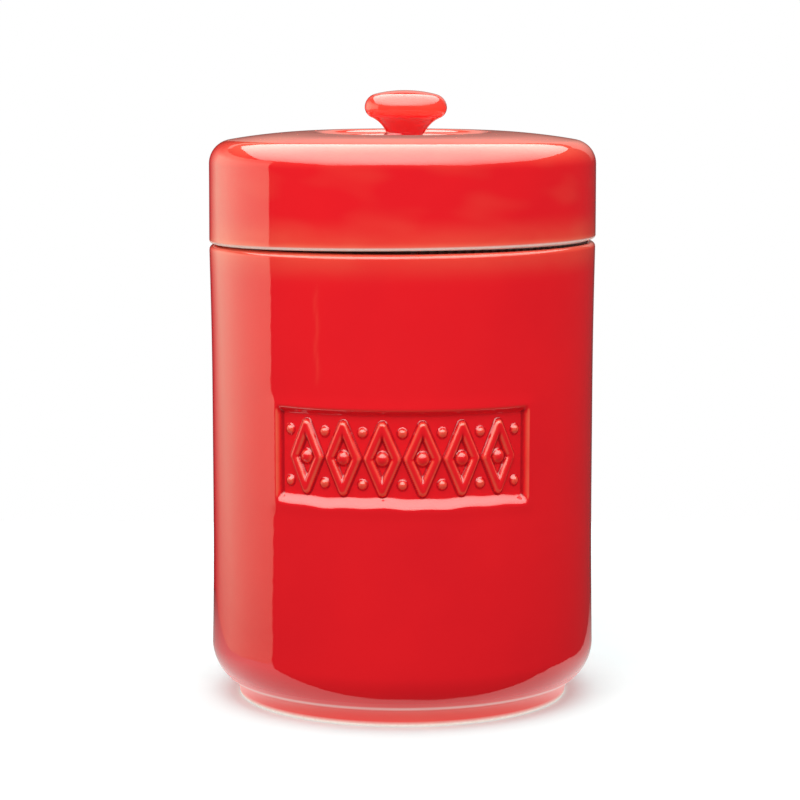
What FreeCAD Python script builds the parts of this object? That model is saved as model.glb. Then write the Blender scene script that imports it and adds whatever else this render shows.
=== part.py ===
import FreeCAD, Part
import math
import os
import Sketcher

# A stoneware grease jar with a domed lid and a drop-in steel strainer.
# Millimetres, +Z up, origin at the middle of the foot ring's underside, label panel facing -Y.

document = FreeCAD.newDocument("grease_container")

# Driving dimensions
DIMENSIONS = {
    # Jar, slip-cast with an even wall
    "jar_height": 136.6,
    "jar_rim_radius": 57.83,
    "jar_belly_radius": 57.8,
    "jar_sweep_radius": 3500,
    "jar_wall": 5.5,
    "rim_round": 1.5,
    "belly_round": 13,
    "belly_height": 16,
    "foot_height": 4.9,
    "foot_radius": 49.6,
    "foot_width": 5.2,
    "foot_cove": 7,
    "foot_round": 0.8,
    "recess_depth": 2.8,
    "recess_draft": 0.6,
    "floor_height": 8.4,
    "floor_round": 10,
    # Label panel, sunk into the front of the jar
    "panel_bottom": 64.4,
    "panel_top": 93,
    "panel_angle": 78,
    "panel_floor_radius": 55.6,
    "panel_depth": 1.8,
    "panel_lower_slope": 2.8,
    "panel_upper_slope": 2.3,
    "panel_reach": 3,
    "panel_round": 0.7,
    # Strainer ring, pressed from one sheet
    "steel": 0.5,
    "flange_radius": 55.6,
    "hem_leaf": 1.6,
    "strainer_top_radius": 51.4,
    "strainer_foot_radius": 50.9,
    "strainer_depth": 24,
    "strainer_bend": 1,
    "bead_radius": 1.2,
    "bead_height": 2.3,
    "ledge_width": 3.2,
    # Strainer screen, a shallow perforated dish
    "screen_radius": 49.7,
    "screen_thickness": 0.6,
    "screen_edge": 4,
    "screen_dish": 2,
    "hole_radius": 1.5,
    "hole_pitch": 6.5,
    "hole_rings": 6,
    # Lid, slip-cast with a deep skirt and a locating flange
    "lid_radius": 57.9,
    "lid_edge_round": 1,
    "lid_wall": 4.8,
    "shoulder_round": 7.2,
    "inner_shoulder_round": 6,
    "crown_sweep_radius": 140,
    "crest_radius": 24,
    "crest_height": 31.9,
    "seat_height": 30.8,
    "seat_radius": 18.5,
    "lid_flange_radius": 50,
    "lid_flange_drop": 6.5,
    "lid_flange_wall": 4.3,
    "lid_flange_cove": 1.2,
    "ledge_cove": 2.5,
    "ledge_round": 3,
    # Knob, cast solid
    "knob_height": 13.6,
    "knob_radius": 12.4,
    "knob_crown_radius": 35,
    "knob_upper_round": 4.2,
    "knob_lower_round": 3.4,
    "knob_neck_radius": 5.3,
    "knob_flare_radius": 9.2,
    "knob_foot_radius": 7,
    "knob_foot_cove": 1.3,
    "knob_foot_height": 0.9,
}

sheet = document.addObject("Spreadsheet::Sheet", "Sizes")
for row, (alias, value) in enumerate(DIMENSIONS.items(), start=1):
    sheet.set(f"A{row}", alias)
    sheet.set(f"B{row}", str(value))
    sheet.setAlias(f"B{row}", alias)
document.recompute()


class Size:
    """A length that holds both its value and its formula in the sheet."""

    def __init__(self, value, formula):
        self.value = value
        self.formula = formula

    def join(self, sign, other, result):
        return Size(result, f"({self.formula} {sign} {other.formula})")

    def __add__(self, other):
        other = as_size(other)
        return self.join("+", other, self.value + other.value)

    def __sub__(self, other):
        other = as_size(other)
        return self.join("-", other, self.value - other.value)

    def __mul__(self, other):
        other = as_size(other)
        return self.join("*", other, self.value * other.value)

    def __truediv__(self, other):
        other = as_size(other)
        return self.join("/", other, self.value / other.value)

    def __neg__(self):
        return Size(-self.value, f"(0 - {self.formula})")


def as_size(item):
    return item if isinstance(item, Size) else Size(item, str(item))


def dimension(alias):
    """A driving dimension by its name in the sheet."""
    return Size(DIMENSIONS[alias], f"Sizes.{alias}")


def square_root(size):
    return Size(math.sqrt(size.value), f"sqrt({size.formula})")


def other_side(long_side, short_side):
    """The third side of a right triangle from its longest side and one other."""
    return square_root(long_side * long_side - short_side * short_side)


# Sketches: an outline is walked with the material on its left, so a convex round turns LEFT
LEFT = 1
RIGHT = -1
AXIS = as_size(0)
ORIGIN_POINT = (-1, 1)
HORIZONTAL_AXIS = -1
VERTICAL_AXIS = -2
START = 1
END = 2
CENTRE = 3


def new_body(label):
    body = document.addObject("PartDesign::Body", label)
    body.Label = label
    return body


def origin_feature(body, role):
    return next(item for item in body.Origin.OriginFeatures if item.Role == role)


def new_sketch(body, name, plane):
    sketch = body.newObject("Sketcher::SketchObject", name)
    sketch.AttachmentSupport = [(origin_feature(body, plane), "")]
    sketch.MapMode = "FlatFace"
    return sketch


def bind(sketch, constraint, name, formula):
    """Add a constraint whose value follows a formula in the sheet."""
    index = sketch.addConstraint(constraint)
    sketch.renameConstraint(index, name)
    sketch.setExpression(f"Constraints.{name}", formula)


def place_point(sketch, edge, end, corner):
    """Hold the end of an edge at a corner: across and up from the sketch's origin."""
    across, up = corner[:2]
    if across.value == 0:
        sketch.addConstraint(Sketcher.Constraint("PointOnObject", edge, end, VERTICAL_AXIS))
    else:
        distance = Sketcher.Constraint("DistanceX", *ORIGIN_POINT, edge, end, across.value)
        bind(sketch, distance, f"across_{edge}", across.formula)
    if up.value == 0:
        sketch.addConstraint(Sketcher.Constraint("PointOnObject", edge, end, HORIZONTAL_AXIS))
    else:
        distance = Sketcher.Constraint("DistanceY", *ORIGIN_POINT, edge, end, up.value)
        bind(sketch, distance, f"up_{edge}", up.formula)


def arc_between(first, last, radius, turn):
    """The short arc from one point to another, turning left or right on the way."""
    chord = last - first
    half = chord.Length / 2
    rise = math.sqrt(max(radius * radius - half * half, 0))
    sideways = FreeCAD.Vector(-chord.y, chord.x, 0).normalize() * turn
    centre = first + chord / 2 + sideways * rise
    from_angle = math.atan2(first.y - centre.y, first.x - centre.x)
    to_angle = math.atan2(last.y - centre.y, last.x - centre.x)
    if turn == RIGHT:
        from_angle, to_angle = to_angle, from_angle
    if to_angle < from_angle:
        to_angle += 2 * math.pi
    circle = Part.Circle(centre, FreeCAD.Vector(0, 0, 1), radius)
    return Part.ArcOfCircle(circle, from_angle, to_angle)


def draw_outline(body, name, plane, corners):
    """Draw a closed outline. A corner that an arc leads to also gives its radius and its turn."""
    sketch = new_sketch(body, name, plane)
    points = [FreeCAD.Vector(corner[0].value, corner[1].value, 0) for corner in corners]
    ends = []
    for edge, corner in enumerate(corners):
        if len(corner) == 2:
            sketch.addGeometry(Part.LineSegment(points[edge - 1], points[edge]), False)
            start, end = START, END
        else:
            radius, turn = corner[2:]
            sketch.addGeometry(arc_between(points[edge - 1], points[edge], radius.value, turn), False)
            start, end = (START, END) if turn == LEFT else (END, START)
            radius_constraint = Sketcher.Constraint("Radius", edge, radius.value)
            bind(sketch, radius_constraint, f"radius_{edge}", radius.formula)
        ends.append((start, end))
    for edge, corner in enumerate(corners):
        before = edge - 1 if edge else len(corners) - 1
        joint = Sketcher.Constraint("Coincident", before, ends[before][1], edge, ends[edge][0])
        sketch.addConstraint(joint)
        place_point(sketch, edge, ends[edge][1], corner)
    return sketch


def revolve(body, name, corners):
    """Turn an outline of radius and height about the upright axis."""
    sketch = draw_outline(body, f"{name}_outline", "XZ_Plane", corners)
    revolution = body.newObject("PartDesign::Revolution", name)
    revolution.Profile = sketch
    revolution.ReferenceAxis = (sketch, ["V_Axis"])
    revolution.Angle = 360
    return revolution


def stand_at(body, height):
    """Stand a piece at its height in the assembly."""
    body.setExpression("Placement.Base.z", height.formula)


# Jar: foot ring, rounded belly, slightly waisted wall, round rim and an even wall inside
def make_jar():
    height = dimension("jar_height")
    rim_radius = dimension("jar_rim_radius")
    rim_round = dimension("rim_round")
    mouth_radius = rim_radius - dimension("jar_wall")
    belly_radius = dimension("jar_belly_radius")
    belly_round = dimension("belly_round")
    belly_height = dimension("belly_height")
    foot_height = dimension("foot_height")
    foot_radius = dimension("foot_radius")
    foot_inner = foot_radius - dimension("foot_width")
    foot_round = dimension("foot_round")
    recess_depth = dimension("recess_depth")
    floor_height = dimension("floor_height")
    floor_round = dimension("floor_round")
    belly_side = other_side(belly_round, belly_height - foot_height)
    belly_start = belly_radius - belly_round + belly_side

    jar = new_body("jar")
    revolve(jar, "jar_wall_and_floor", [
        (AXIS, recess_depth),
        (foot_inner - dimension("recess_draft"), recess_depth),
        (foot_inner, foot_round),
        (foot_inner + foot_round, AXIS, foot_round, LEFT),
        (foot_radius - foot_round, AXIS),
        (foot_radius, foot_round, foot_round, LEFT),
        (belly_start, foot_height, dimension("foot_cove"), RIGHT),
        (belly_radius, belly_height, belly_round, LEFT),
        (rim_radius, height - rim_round, dimension("jar_sweep_radius"), RIGHT),
        (rim_radius - rim_round, height, rim_round, LEFT),
        (mouth_radius + rim_round, height),
        (mouth_radius, height - rim_round, rim_round, LEFT),
        (mouth_radius, floor_height + floor_round),
        (mouth_radius - floor_round, floor_height, floor_round, RIGHT),
        (AXIS, floor_height),
    ])
    sink_panel(jar)
    return jar


def sink_panel(jar):
    """Sink the label panel: a sector of the wall with sloped upper and lower sides."""
    document.recompute()
    whole_volume = jar.Shape.Volume
    bottom = dimension("panel_bottom")
    top = dimension("panel_top")
    depth = dimension("panel_depth")
    floor_radius = dimension("panel_floor_radius")
    reach = dimension("panel_reach")
    lower_slope = dimension("panel_lower_slope")
    upper_slope = dimension("panel_upper_slope")
    outer_radius = floor_radius + depth + reach
    outline = draw_outline(jar, "panel_outline", "YZ_Plane", [
        (-outer_radius, bottom - lower_slope * reach / depth),
        (-floor_radius, bottom + lower_slope),
        (-floor_radius, top - upper_slope),
        (-outer_radius, top + upper_slope * reach / depth),
    ])
    panel = jar.newObject("PartDesign::Groove", "label_panel")
    panel.Profile = outline
    panel.ReferenceAxis = (outline, ["V_Axis"])
    panel.Midplane = True
    panel.setExpression("Angle", "Sizes.panel_angle")
    document.recompute()
    if jar.Shape.Volume >= whole_volume:
        raise RuntimeError("the label panel cuts nothing")
    soften_panel(jar, panel)


def soften_panel(jar, panel):
    """Round every edge of the panel, as the mould and the glaze leave it."""
    lowest = DIMENSIONS["panel_bottom"] - DIMENSIONS["panel_round"]
    highest = DIMENSIONS["panel_top"] + DIMENSIONS["panel_round"]
    edges = []
    for number, edge in enumerate(panel.Shape.Edges, start=1):
        box = edge.BoundBox
        if box.ZMin > lowest and box.ZMax < highest and box.YMax < 0:
            edges.append(f"Edge{number}")
    fillet = jar.newObject("PartDesign::Fillet", "panel_rounding")
    fillet.Base = (panel, edges)
    fillet.setExpression("Radius", "Sizes.panel_round")


# Strainer ring: hemmed flange, short tapered wall, a rolled-in bead and a turned-in ledge
def make_strainer_rim():
    steel = dimension("steel")
    flange_radius = dimension("flange_radius")
    hem_leaf = dimension("hem_leaf")
    bend = dimension("strainer_bend")
    top_radius = dimension("strainer_top_radius")
    foot_radius = dimension("strainer_foot_radius")
    depth = dimension("strainer_depth")
    bead = dimension("bead_radius")
    bead_height = dimension("bead_height")
    hem_thickness = steel * 2
    bend_centre = top_radius + bend
    bend_height = hem_thickness - steel - bend
    foot = -depth
    bead_centre = foot + bead_height

    rim = new_body("strainer_rim")
    revolve(rim, "pressed_ring", [
        (foot_radius - steel * 2, foot),
        (foot_radius, foot + steel * 2, steel * 2, LEFT),
        (foot_radius, bead_centre - bead + steel),
        (foot_radius - bead + steel, bead_centre, bead - steel, RIGHT),
        (foot_radius, bead_centre + bead - steel, bead - steel, RIGHT),
        (top_radius, bend_height),
        (bend_centre, bend_height + bend, bend, RIGHT),
        (flange_radius - steel - hem_leaf, steel),
        (flange_radius - steel - hem_leaf, AXIS),
        (flange_radius - steel, AXIS),
        (flange_radius, steel, steel, LEFT),
        (flange_radius - steel, hem_thickness, steel, LEFT),
        (bend_centre, hem_thickness),
        (top_radius - steel, bend_height, bend + steel, LEFT),
        (foot_radius - steel, bead_centre + bead),
        (foot_radius - steel - bead, bead_centre, bead, LEFT),
        (foot_radius - steel, bead_centre - bead, bead, LEFT),
        (foot_radius - steel, foot + steel * 2),
        (foot_radius - steel * 2, foot + steel, steel, RIGHT),
        (foot_radius - dimension("ledge_width"), foot + steel),
        (foot_radius - dimension("ledge_width"), foot),
    ])
    stand_at(rim, dimension("jar_height"))
    return rim


# Strainer screen: a flat edge under the bead and a shallow dish with rings of round holes
def make_strainer_screen():
    radius = dimension("screen_radius")
    thickness = dimension("screen_thickness")
    dish = dimension("screen_dish")
    dish_radius = radius - dimension("screen_edge")
    dish_sweep = (dish_radius * dish_radius + dish * dish) / (dish * 2)

    screen = new_body("strainer_screen")
    revolve(screen, "dished_disc", [
        (AXIS, -dish),
        (dish_radius, AXIS, dish_sweep, LEFT),
        (radius, AXIS),
        (radius, thickness),
        (dish_radius, thickness),
        (AXIS, thickness - dish, dish_sweep, RIGHT),
    ])
    punch_holes(screen)
    stand_at(screen, dimension("jar_height") - dimension("strainer_depth") + dimension("steel"))
    return screen


def punch_hole(screen, name, distance):
    """Punch one hole through the screen at a distance from its middle."""
    sketch = new_sketch(screen, f"{name}_outline", "XY_Plane")
    centre = FreeCAD.Vector(distance.value, 0, 0)
    radius = dimension("hole_radius")
    sketch.addGeometry(Part.Circle(centre, FreeCAD.Vector(0, 0, 1), radius.value), False)
    bind(sketch, Sketcher.Constraint("Radius", 0, radius.value), "radius", radius.formula)
    if distance.value == 0:
        sketch.addConstraint(Sketcher.Constraint("Coincident", 0, CENTRE, *ORIGIN_POINT))
    else:
        sketch.addConstraint(Sketcher.Constraint("PointOnObject", 0, CENTRE, HORIZONTAL_AXIS))
        across = Sketcher.Constraint("DistanceX", *ORIGIN_POINT, 0, CENTRE, distance.value)
        bind(sketch, across, "distance", distance.formula)
    hole = screen.newObject("PartDesign::Pocket", name)
    hole.Profile = sketch
    hole.Type = "ThroughAll"
    hole.SideType = "Symmetric"
    return hole


def punch_holes(screen):
    """Punch the middle hole, then rings of six, twelve, eighteen and so on."""
    document.recompute()
    last_volume = screen.Shape.Volume
    punch_hole(screen, "middle_hole", AXIS)
    for ring in range(1, DIMENSIONS["hole_rings"] + 1):
        hole = punch_hole(screen, f"ring_{ring}_hole", dimension("hole_pitch") * ring)
        pattern = screen.newObject("PartDesign::PolarPattern", f"ring_{ring}")
        pattern.Originals = [hole]
        pattern.Axis = (origin_feature(screen, "Z_Axis"), [""])
        pattern.Angle = 360
        pattern.Occurrences = 6 * ring
        screen.Tip = pattern
        document.recompute()
        if screen.Shape.Volume >= last_volume:
            raise RuntimeError(f"hole ring {ring} cuts nothing")
        last_volume = screen.Shape.Volume


def tangent_point(from_centre, to_centre, radius, distance):
    """Where a circle meets one inside it: out from its centre, past the smaller one's centre."""
    share = radius / distance
    across = from_centre[0] + (to_centre[0] - from_centre[0]) * share
    up = from_centre[1] + (to_centre[1] - from_centre[1]) * share
    return across, up


# Lid: crown with a sunk middle, round shoulder, deep skirt and a flange that drops into the strainer
def make_lid():
    radius = dimension("lid_radius")
    wall = dimension("lid_wall")
    edge_round = dimension("lid_edge_round")
    crest = (dimension("crest_radius"), dimension("crest_height"))
    seat_height = dimension("seat_height")
    seat_radius = dimension("seat_radius")
    sweep = dimension("crown_sweep_radius")
    crown_centre = (crest[0], crest[1] - sweep)
    shoulder = dimension("shoulder_round")
    shoulder_across = radius - shoulder
    shoulder_up = crown_centre[1] + other_side(sweep - shoulder, shoulder_across - crest[0])
    shoulder_top = tangent_point(crown_centre, (shoulder_across, shoulder_up), sweep, sweep - shoulder)
    dish_middle = ((seat_radius + crest[0]) / 2, (seat_height + crest[1]) / 2)
    dish_width = crest[0] - seat_radius
    dish_rise = crest[1] - seat_height
    dish_round = (dish_width * dish_width + dish_rise * dish_rise) / (dish_rise * 4)

    inner_radius = radius - wall
    inner_sweep = sweep - wall
    inner_shoulder = dimension("inner_shoulder_round")
    inner_across = inner_radius - inner_shoulder
    inner_span = inner_sweep - inner_shoulder
    inner_up = crown_centre[1] + other_side(inner_span, inner_across - crest[0])
    inner_top = tangent_point(crown_centre, (inner_across, inner_up), inner_sweep, inner_span)

    flange_radius = dimension("lid_flange_radius")
    flange_wall = dimension("lid_flange_wall")
    flange_end = flange_wall / 2
    flange_foot = -dimension("lid_flange_drop")
    flange_inner = flange_radius - flange_wall
    flange_cove = dimension("lid_flange_cove")
    ledge_cove = dimension("ledge_cove")
    ledge_round = dimension("ledge_round")

    lid = new_body("lid")
    revolve(lid, "dome_skirt_and_flange", [
        (AXIS, seat_height - wall),
        (seat_radius, seat_height - wall),
        (dish_middle[0], dish_middle[1] - wall, dish_round, LEFT),
        (crest[0], crest[1] - wall, dish_round, RIGHT),
        (*inner_top, inner_sweep, RIGHT),
        (inner_radius, inner_up, inner_shoulder, RIGHT),
        (inner_radius, wall + ledge_cove),
        (inner_radius - ledge_cove, wall, ledge_cove, RIGHT),
        (flange_inner + ledge_round, wall),
        (flange_inner, wall - ledge_round, ledge_round, LEFT),
        (flange_inner, flange_foot + flange_end),
        (flange_inner + flange_end, flange_foot, flange_end, LEFT),
        (flange_radius, flange_foot + flange_end, flange_end, LEFT),
        (flange_radius, -flange_cove),
        (flange_radius + flange_cove, AXIS, flange_cove, RIGHT),
        (radius - edge_round, AXIS),
        (radius, edge_round, edge_round, LEFT),
        (radius, shoulder_up),
        (*shoulder_top, shoulder, LEFT),
        (*crest, sweep, LEFT),
        (*dish_middle, dish_round, LEFT),
        (seat_radius, seat_height, dish_round, RIGHT),
        (AXIS, seat_height),
    ])
    stand_at(lid, lid_height())
    return lid


def lid_height():
    """The lid rests on the strainer's hemmed flange, two sheets thick, on the jar's rim."""
    return dimension("jar_height") + dimension("steel") * 2


# Knob: low crown, round edge, flared stem and a small cove where it is stuck to the lid
def make_lid_knob():
    height = dimension("knob_height")
    radius = dimension("knob_radius")
    crown = dimension("knob_crown_radius")
    upper_round = dimension("knob_upper_round")
    lower_round = dimension("knob_lower_round")
    flare = dimension("knob_flare_radius")
    crown_centre = (AXIS, height - crown)
    upper_across = radius - upper_round
    edge_height = crown_centre[1] + other_side(crown - upper_round, upper_across)
    upper_centre = (upper_across, edge_height)
    crown_end = tangent_point(crown_centre, upper_centre, crown, crown - upper_round)
    lower_centre = (radius - lower_round, edge_height)
    flare_across = dimension("knob_neck_radius") + flare
    flare_up = edge_height - other_side(lower_round + flare, flare_across - lower_centre[0])
    flare_centre = (flare_across, flare_up)
    flare_end = tangent_point(flare_centre, lower_centre, flare, flare + lower_round)
    cove_height = dimension("knob_foot_height")
    cove_across = flare_across - other_side(flare, cove_height - flare_up)

    knob = new_body("lid_knob")
    revolve(knob, "mushroom", [
        (AXIS, AXIS),
        (dimension("knob_foot_radius"), AXIS),
        (cove_across, cove_height, dimension("knob_foot_cove"), RIGHT),
        (*flare_end, flare, RIGHT),
        (radius, edge_height, lower_round, LEFT),
        (*crown_end, upper_round, LEFT),
        (AXIS, height, crown, LEFT),
    ])
    stand_at(knob, lid_height() + dimension("seat_height"))
    return knob


pieces = [make_jar(), make_strainer_rim(), make_strainer_screen(), make_lid(), make_lid_knob()]
document.recompute()

for item in document.Objects:
    if "Invalid" in item.State or "Error" in item.State:
        raise RuntimeError(f"{item.Label} failed: {item.State}")
for piece in pieces:
    if piece.Shape.isNull() or not piece.Shape.isValid():
        raise RuntimeError(f"{piece.Label} has no valid shape")

os.makedirs("parts", exist_ok=True)
for piece in pieces:
    piece.Shape.exportStep(f"parts/{piece.Label}.step")
    print(piece.Label, len(piece.Shape.Solids), "solid", round(piece.Shape.Volume / 1000, 2), "cm3")
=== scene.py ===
import math

import bpy
import numpy as np
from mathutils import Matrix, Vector


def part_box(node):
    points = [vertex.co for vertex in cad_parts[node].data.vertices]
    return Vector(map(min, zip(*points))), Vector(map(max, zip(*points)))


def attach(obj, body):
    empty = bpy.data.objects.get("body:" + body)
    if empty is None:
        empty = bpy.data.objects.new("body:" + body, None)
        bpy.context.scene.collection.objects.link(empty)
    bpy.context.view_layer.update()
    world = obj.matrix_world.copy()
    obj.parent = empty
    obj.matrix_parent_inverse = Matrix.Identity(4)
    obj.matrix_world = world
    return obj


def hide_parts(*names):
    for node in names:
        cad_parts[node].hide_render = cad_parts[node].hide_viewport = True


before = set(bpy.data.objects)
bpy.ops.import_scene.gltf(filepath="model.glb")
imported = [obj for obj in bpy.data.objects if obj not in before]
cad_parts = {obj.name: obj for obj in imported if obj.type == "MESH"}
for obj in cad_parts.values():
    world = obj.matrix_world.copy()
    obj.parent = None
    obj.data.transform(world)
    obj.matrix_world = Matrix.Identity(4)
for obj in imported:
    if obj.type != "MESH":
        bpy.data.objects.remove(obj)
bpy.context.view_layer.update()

# A red glazed stoneware grease jar with a domed lid. Outlines are in millimetres and become metres in a mesh.
# Angles go round Z from the front, where the label panel is, towards +X.
MM = 0.001
AXIS = 0
LEFT = 1
RIGHT = -1

# Heights and radii that the frame's solids give
JAR_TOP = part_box("jar")[1].z / MM
LID_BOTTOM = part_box("strainer_rim")[1].z / MM
LID_FLANGE_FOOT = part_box("lid")[0].z / MM
LID_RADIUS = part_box("lid")[1].x / MM
KNOB_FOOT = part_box("lid_knob")[0].z / MM
KNOB_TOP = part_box("lid_knob")[1].z / MM


class Outline:
    """Points of radius and height, walked with the material on the left."""

    def __init__(self, radius, height):
        self.points = [(radius, height)]

    def line(self, radius, height, pieces):
        first = self.points[-1]
        for piece in range(1, pieces + 1):
            share = piece / pieces
            self.points.append((first[0] + (radius - first[0]) * share, first[1] + (height - first[1]) * share))
        return self

    def arc(self, radius, height, bend, turn, pieces):
        """An arc of radius bend that turns left or right on its way to the point."""
        first = self.points[-1]
        chord = (radius - first[0], height - first[1])
        half = math.hypot(*chord) / 2
        rise = math.sqrt(max(bend * bend - half * half, 0)) * turn / (half * 2)
        centre = (first[0] + chord[0] / 2 - chord[1] * rise, first[1] + chord[1] / 2 + chord[0] * rise)
        from_angle = math.atan2(first[1] - centre[1], first[0] - centre[0])
        sweep = 2 * math.asin(min(half / bend, 1)) * turn
        for piece in range(1, pieces + 1):
            angle = from_angle + sweep * piece / pieces
            self.points.append((centre[0] + bend * math.cos(angle), centre[1] + bend * math.sin(angle)))
        return self


def smooth(low, high, value):
    """0 at low, 1 at high, an eased change between and none beyond. low may be above high."""
    share = np.clip((value - low) / (high - low), 0, 1)
    return share * share * (3 - 2 * share)


# The mesh of a turned piece. The jar's front has fine columns where the panel is.
FRONT_HALF_ANGLE = math.radians(42)
FINE_COLUMNS = 336
BACK_COLUMNS = 92
EVEN_COLUMNS = 256
FINE_STEP = 3
OUTSIDE = 53.9
POLE = 1e-6


def front_fine_angles():
    """Angles around the jar, closest together across the front panel."""
    front = np.linspace(-FRONT_HALF_ANGLE, FRONT_HALF_ANGLE, FINE_COLUMNS + 1)
    back = np.linspace(FRONT_HALF_ANGLE, 2 * math.pi - FRONT_HALF_ANGLE, BACK_COLUMNS)[1:-1]
    return np.concatenate([front, back])


def corners(row, between, fine, pole):
    """The corners of a face along one row: all of them in a fine row, one at a pole."""
    if pole:
        return [(row, 0)]
    columns = between if fine else [between[0], between[-1]]
    return [(row, column) for column in columns]


def turned_faces(radius, height, columns, fine):
    """The faces between the rows of a turned outline. Its ends meet, unless they lie on the axis."""
    rows = len(radius)
    every = list(range(columns))
    coarse = every if fine is None else [k for k in every if k % FINE_STEP == 0 or k > FINE_COLUMNS]
    is_fine = [
        fine is not None and radius[row] > OUTSIDE and fine[0] < height[row] < fine[1]
        for row in range(rows)
    ]
    poles = [row for row in (0, rows - 1) if radius[row] < POLE]
    faces = []
    for row in range(rows - 1 if poles else rows):
        above = (row + 1) % rows
        borders = every if is_fine[row] and is_fine[above] else coarse
        for first, last in zip(borders, borders[1:] + [columns]):
            between = list(range(first, last + 1))
            ring = corners(row, between, is_fine[row], row in poles)
            ring += corners(above, between, is_fine[above], above in poles)[::-1]
            faces.append([r * columns + k % columns for r, k in ring])
    return faces


def turned_piece(name, outline, angles, shape, fine=None):
    """Turn an outline about Z.

    shape gives each point's radius, height and named marks, and may give new angles.
    fine holds the heights between which every angle is used. Elsewhere the front keeps every third.
    """
    radius, height = np.array(outline.points).T
    angle_grid, radius_grid = np.meshgrid(angles, radius)
    height_grid = np.meshgrid(angles, height)[1]
    radius_grid, height_grid, marks, *turned = shape(angle_grid, radius_grid, height_grid)
    angle_grid = turned[0] if turned else angle_grid
    x = radius_grid * np.sin(angle_grid)
    y = -radius_grid * np.cos(angle_grid)
    points = np.stack([x, y, height_grid], axis=-1).reshape(-1, 3) * MM
    faces = turned_faces(radius, height, len(angles), fine)
    used = np.unique(np.concatenate([np.array(face) for face in faces]))
    renumber = np.full(len(points), -1)
    renumber[used] = np.arange(len(used))
    mesh = bpy.data.meshes.new(name)
    mesh.from_pydata(points[used].tolist(), [], [renumber[face].tolist() for face in faces])
    for mark, values in marks.items():
        add_attribute(mesh, mark, np.broadcast_to(values, radius_grid.shape).reshape(-1)[used])
    mesh.polygons.foreach_set("use_smooth", [True] * len(mesh.polygons))
    mesh.update()
    piece = bpy.data.objects.new(name, mesh)
    bpy.context.scene.collection.objects.link(piece)
    return piece


def add_attribute(mesh, name, values):
    attribute = mesh.attributes.new(name, "FLOAT", "POINT")
    attribute.data.foreach_set("value", values.astype(np.float32))


# Unevenness of slip-cast and fired ware: size in mm, waves around, turn per mm of height, times the seed
WOBBLE = (
    (0.10, 2, 0, 1),
    (0.05, 3, 0.031, 2),
    (0.022, 7, 0.06, 3),
    (0.012, 13, -0.11, 5),
    (0.03, 0, 0.09, 1),
)
JAR_SEED = 0.7
LID_SEED = 2.1
STRAINER_EDGE = 55.7
SEAM_TILT = 0.5
SEAM_EASE = 1


def ripple(angle, height, around, rise, start):
    return np.sin(around * angle + rise * height + start)


def wobble(angle, height, seed):
    return sum(
        size * ripple(angle, height, around, rise, times * seed)
        for size, around, rise, times in WOBBLE
    )


def outside_strainer(radius):
    """0 where the strainer's flange lies in the seam and 1 outside it."""
    return smooth(STRAINER_EDGE, STRAINER_EDGE + SEAM_EASE, radius)


def seam_tilt(angle, radius):
    """The rim and the skirt's edge droop on the left and rise on the right, outside the strainer's flange."""
    return SEAM_TILT * np.sin(angle) * outside_strainer(radius)


# Label panel and its lozenge and bead relief, as heights over the jar's wall
PANEL_ROWS = (59.5, 98)
PANEL_ROW_COUNT = 137
PANEL_MIDDLE = 78.7
PANEL_HALF_HEIGHT = 14.3
PANEL_HALF_WIDTH = 39.1
PANEL_DEPTH = 1.9
PANEL_SIDE_RAMP = 1.5
PANEL_UPPER_RAMP = 2.4
PANEL_LOWER_RAMP = 3.4
PANEL_LIP = 0.2
PANEL_LIP_REACH = 2.2
PANEL_WAVES = ((0.22, 0.21, 0), (0.14, 0.53, 1))
WALL_RADIUS = 57.4
LOZENGES = 6
LOZENGE_PITCH = 11.7
LOZENGE_HALF_WIDTH = 4.1
LOZENGE_HALF_HEIGHT = 9.3
RIDGE_HALF_WIDTH = 1.5
RELIEF_HEIGHT = 1.55
RIDGE_FLATNESS = 2.6
BEAD_FLATNESS = 2
DOME_FALL = 0.75
MIDDLE_BEAD = 2.15
SIDE_BEAD = 1.5
SIDE_BEAD_UP = 7.4
SIDE_BEAD_SHARE = 0.8


def dome(distance, reach, height, flatness=BEAD_FLATNESS):
    """A rounded ridge or bead: full height in its middle and none at its reach."""
    share = np.clip(distance / reach, 0, 1)
    return height * (1 - share ** flatness) ** DOME_FALL


def relief(across, up):
    """Raised lozenges with a bead inside each and small beads between them."""
    raised = np.zeros_like(across)
    length = LOZENGE_HALF_WIDTH ** 2 + LOZENGE_HALF_HEIGHT ** 2
    for place in range(LOZENGES):
        beside = np.abs(across - (place - (LOZENGES - 1) / 2) * LOZENGE_PITCH)
        along = LOZENGE_HALF_WIDTH * (LOZENGE_HALF_WIDTH - beside) + LOZENGE_HALF_HEIGHT * np.abs(up)
        along = np.clip(along / length, 0, 1)
        edge = np.hypot(beside - LOZENGE_HALF_WIDTH * (1 - along), np.abs(up) - LOZENGE_HALF_HEIGHT * along)
        raised = np.maximum(raised, dome(edge, RIDGE_HALF_WIDTH, RELIEF_HEIGHT, RIDGE_FLATNESS))
        raised = np.maximum(raised, dome(np.hypot(beside, up), MIDDLE_BEAD, RELIEF_HEIGHT))
    for place in range(LOZENGES + 1):
        middle = (place - LOZENGES / 2) * LOZENGE_PITCH
        for side in (-1, 1):
            distance = np.hypot(across - middle, up - side * SIDE_BEAD_UP)
            raised = np.maximum(raised, dome(distance, SIDE_BEAD, RELIEF_HEIGHT * SIDE_BEAD_SHARE))
    return raised


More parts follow.
